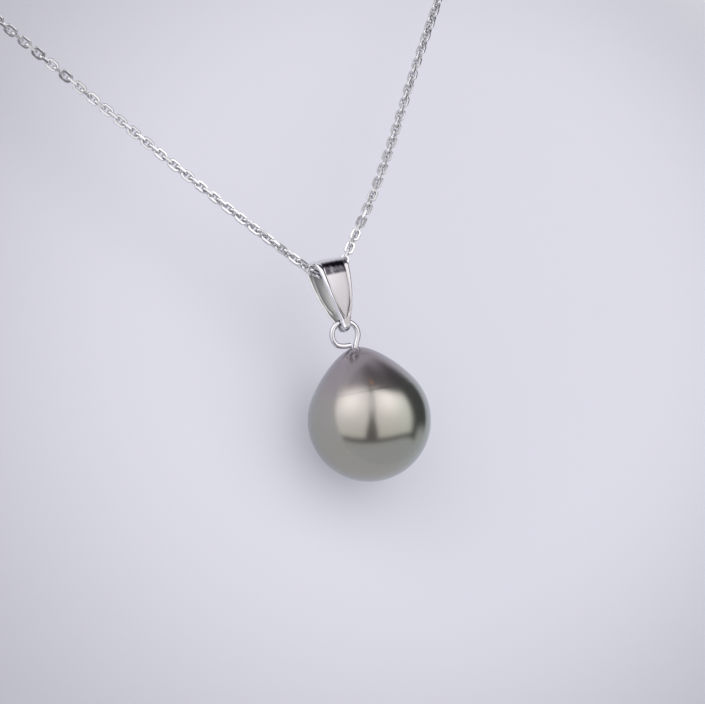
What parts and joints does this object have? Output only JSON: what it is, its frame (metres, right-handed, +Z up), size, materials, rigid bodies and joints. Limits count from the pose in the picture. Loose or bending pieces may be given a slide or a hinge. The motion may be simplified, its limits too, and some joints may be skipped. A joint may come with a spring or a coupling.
{
  "type": "drop pearl pendant necklace",
  "caption": "Fine cable chain with a folded tapered bail, a wire eye and one dark drop pearl, closed by a spring ring clasp at the nape.",
  "frame": {"origin": "middle of the neck opening at the height of the two side points of the neck", "axes": "+Z up as worn, -Y to the wearer's front, +X to the wearer's left"},
  "size_m": [0.117, 0.1149, 0.1357],
  "materials": {
    "chain_gold": "rhodium-plated white gold, diamond-cut flats",
    "bail_gold": "polished white gold, finely lined front panel",
    "eye_gold": "polished white gold wire",
    "clasp_gold": "polished white gold",
    "spring_steel": "drawn spring wire",
    "pearl": "nacre, grey-green with champagne and mauve overtones"
  },
  "bodies": {
    "neck_chain": {"rear_chain_left_1": "chain_gold", "rear_chain_left_2": "chain_gold", "rear_chain_left_3": "chain_gold", "rear_chain_left_4": "chain_gold", "rear_chain_left_5": "chain_gold", "rear_chain_left_6": "chain_gold", "rear_chain_left_7": "chain_gold", "rear_chain_left_8": "chain_gold", "rear_chain_right_1": "chain_gold", "rear_chain_right_2": "chain_gold", "rear_chain_right_3": "chain_gold", "rear_chain_right_4": "chain_gold", "rear_chain_right_5": "chain_gold", "rear_chain_right_6": "chain_gold", "rear_chain_right_7": "chain_gold", "rear_chain_right_8": "chain_gold", "end_ring_left": "clasp_gold", "end_ring_right": "clasp_gold"},
    "front_chain": {"chain_in_bail": "chain_gold", "front_chain_left_1": "chain_gold", "front_chain_left_10": "chain_gold", "front_chain_left_2": "chain_gold", "front_chain_left_3": "chain_gold", "front_chain_left_4": "chain_gold", "front_chain_left_5": "chain_gold", "front_chain_left_6": "chain_gold", "front_chain_left_7": "chain_gold", "front_chain_left_8": "chain_gold", "front_chain_left_9": "chain_gold", "front_chain_right_1": "chain_gold", "front_chain_right_10": "chain_gold", "front_chain_right_2": "chain_gold", "front_chain_right_3": "chain_gold", "front_chain_right_4": "chain_gold", "front_chain_right_5": "chain_gold", "front_chain_right_6": "chain_gold", "front_chain_right_7": "chain_gold", "front_chain_right_8": "chain_gold", "front_chain_right_9": "chain_gold"},
    "bail": {"bail": "bail_gold"},
    "pearl_drop": {"eye_peg": "eye_gold", "pearl": "pearl"},
    "clasp": {"clasp_ring": "clasp_gold", "clasp_spring": "spring_steel"},
    "clasp_bolt": {"clasp_bolt": "clasp_gold"}
  },
  "joints": [
    {"name": "front_lift", "type": "hinge", "parent": "neck_chain", "child": "front_chain", "pos_m": [0, 0, 0], "axis": [-1, 0, 0], "range_deg": [0, 40]},
    {"name": "bail_swing", "type": "hinge", "parent": "front_chain", "child": "bail", "pos_m": [0, -0.04792, -0.08671], "axis": [-1, 0, 0], "range_deg": [0, 40]},
    {"name": "pearl_swing", "type": "hinge", "parent": "bail", "child": "pearl_drop", "pos_m": [0, -0.04892, -0.09141], "axis": [-1, 0, 0], "range_deg": [0, 40]},
    {"name": "clasp_twist", "type": "hinge", "parent": "neck_chain", "child": "clasp", "pos_m": [0, 0.058, 0.025], "axis": [1, 0, 0], "range_deg": [-20, 20]},
    {"name": "clasp_bolt_pull", "type": "hinge", "parent": "clasp", "child": "clasp_bolt", "pos_m": [0, 0.058, 0.025], "axis": [0, 1, 0], "range_deg": [0, 42], "stiffness_Nm_per_rad": 0.001, "springref_deg": -34.38, "deforming": ["clasp_spring"]}
  ]
}
